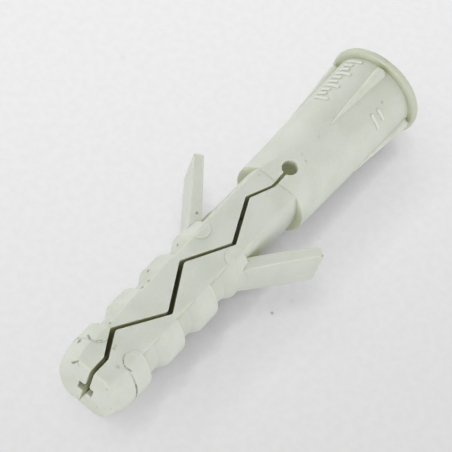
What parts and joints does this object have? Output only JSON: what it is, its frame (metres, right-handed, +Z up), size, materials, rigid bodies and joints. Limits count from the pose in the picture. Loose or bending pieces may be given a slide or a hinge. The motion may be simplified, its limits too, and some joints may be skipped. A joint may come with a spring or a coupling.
{
  "type": "nylon plug with collar",
  "caption": "Moulded wall plug with a thin collar, barbed legs parted by a zigzag slit, two side wings and a screw bore.",
  "frame": {"origin": "centre of the object's box, on the surface that it lies on", "axes": "+X from the nose toward the collar, +Z up out of the slit's upper side, +Y to one wing"},
  "size_m": [0.0604, 0.0208, 0.0133],
  "materials": {
    "nylon": "pale grey-green moulded nylon, satin"
  },
  "bodies": {
    "root": {"plug": "nylon"}
  },
  "joints": []
}
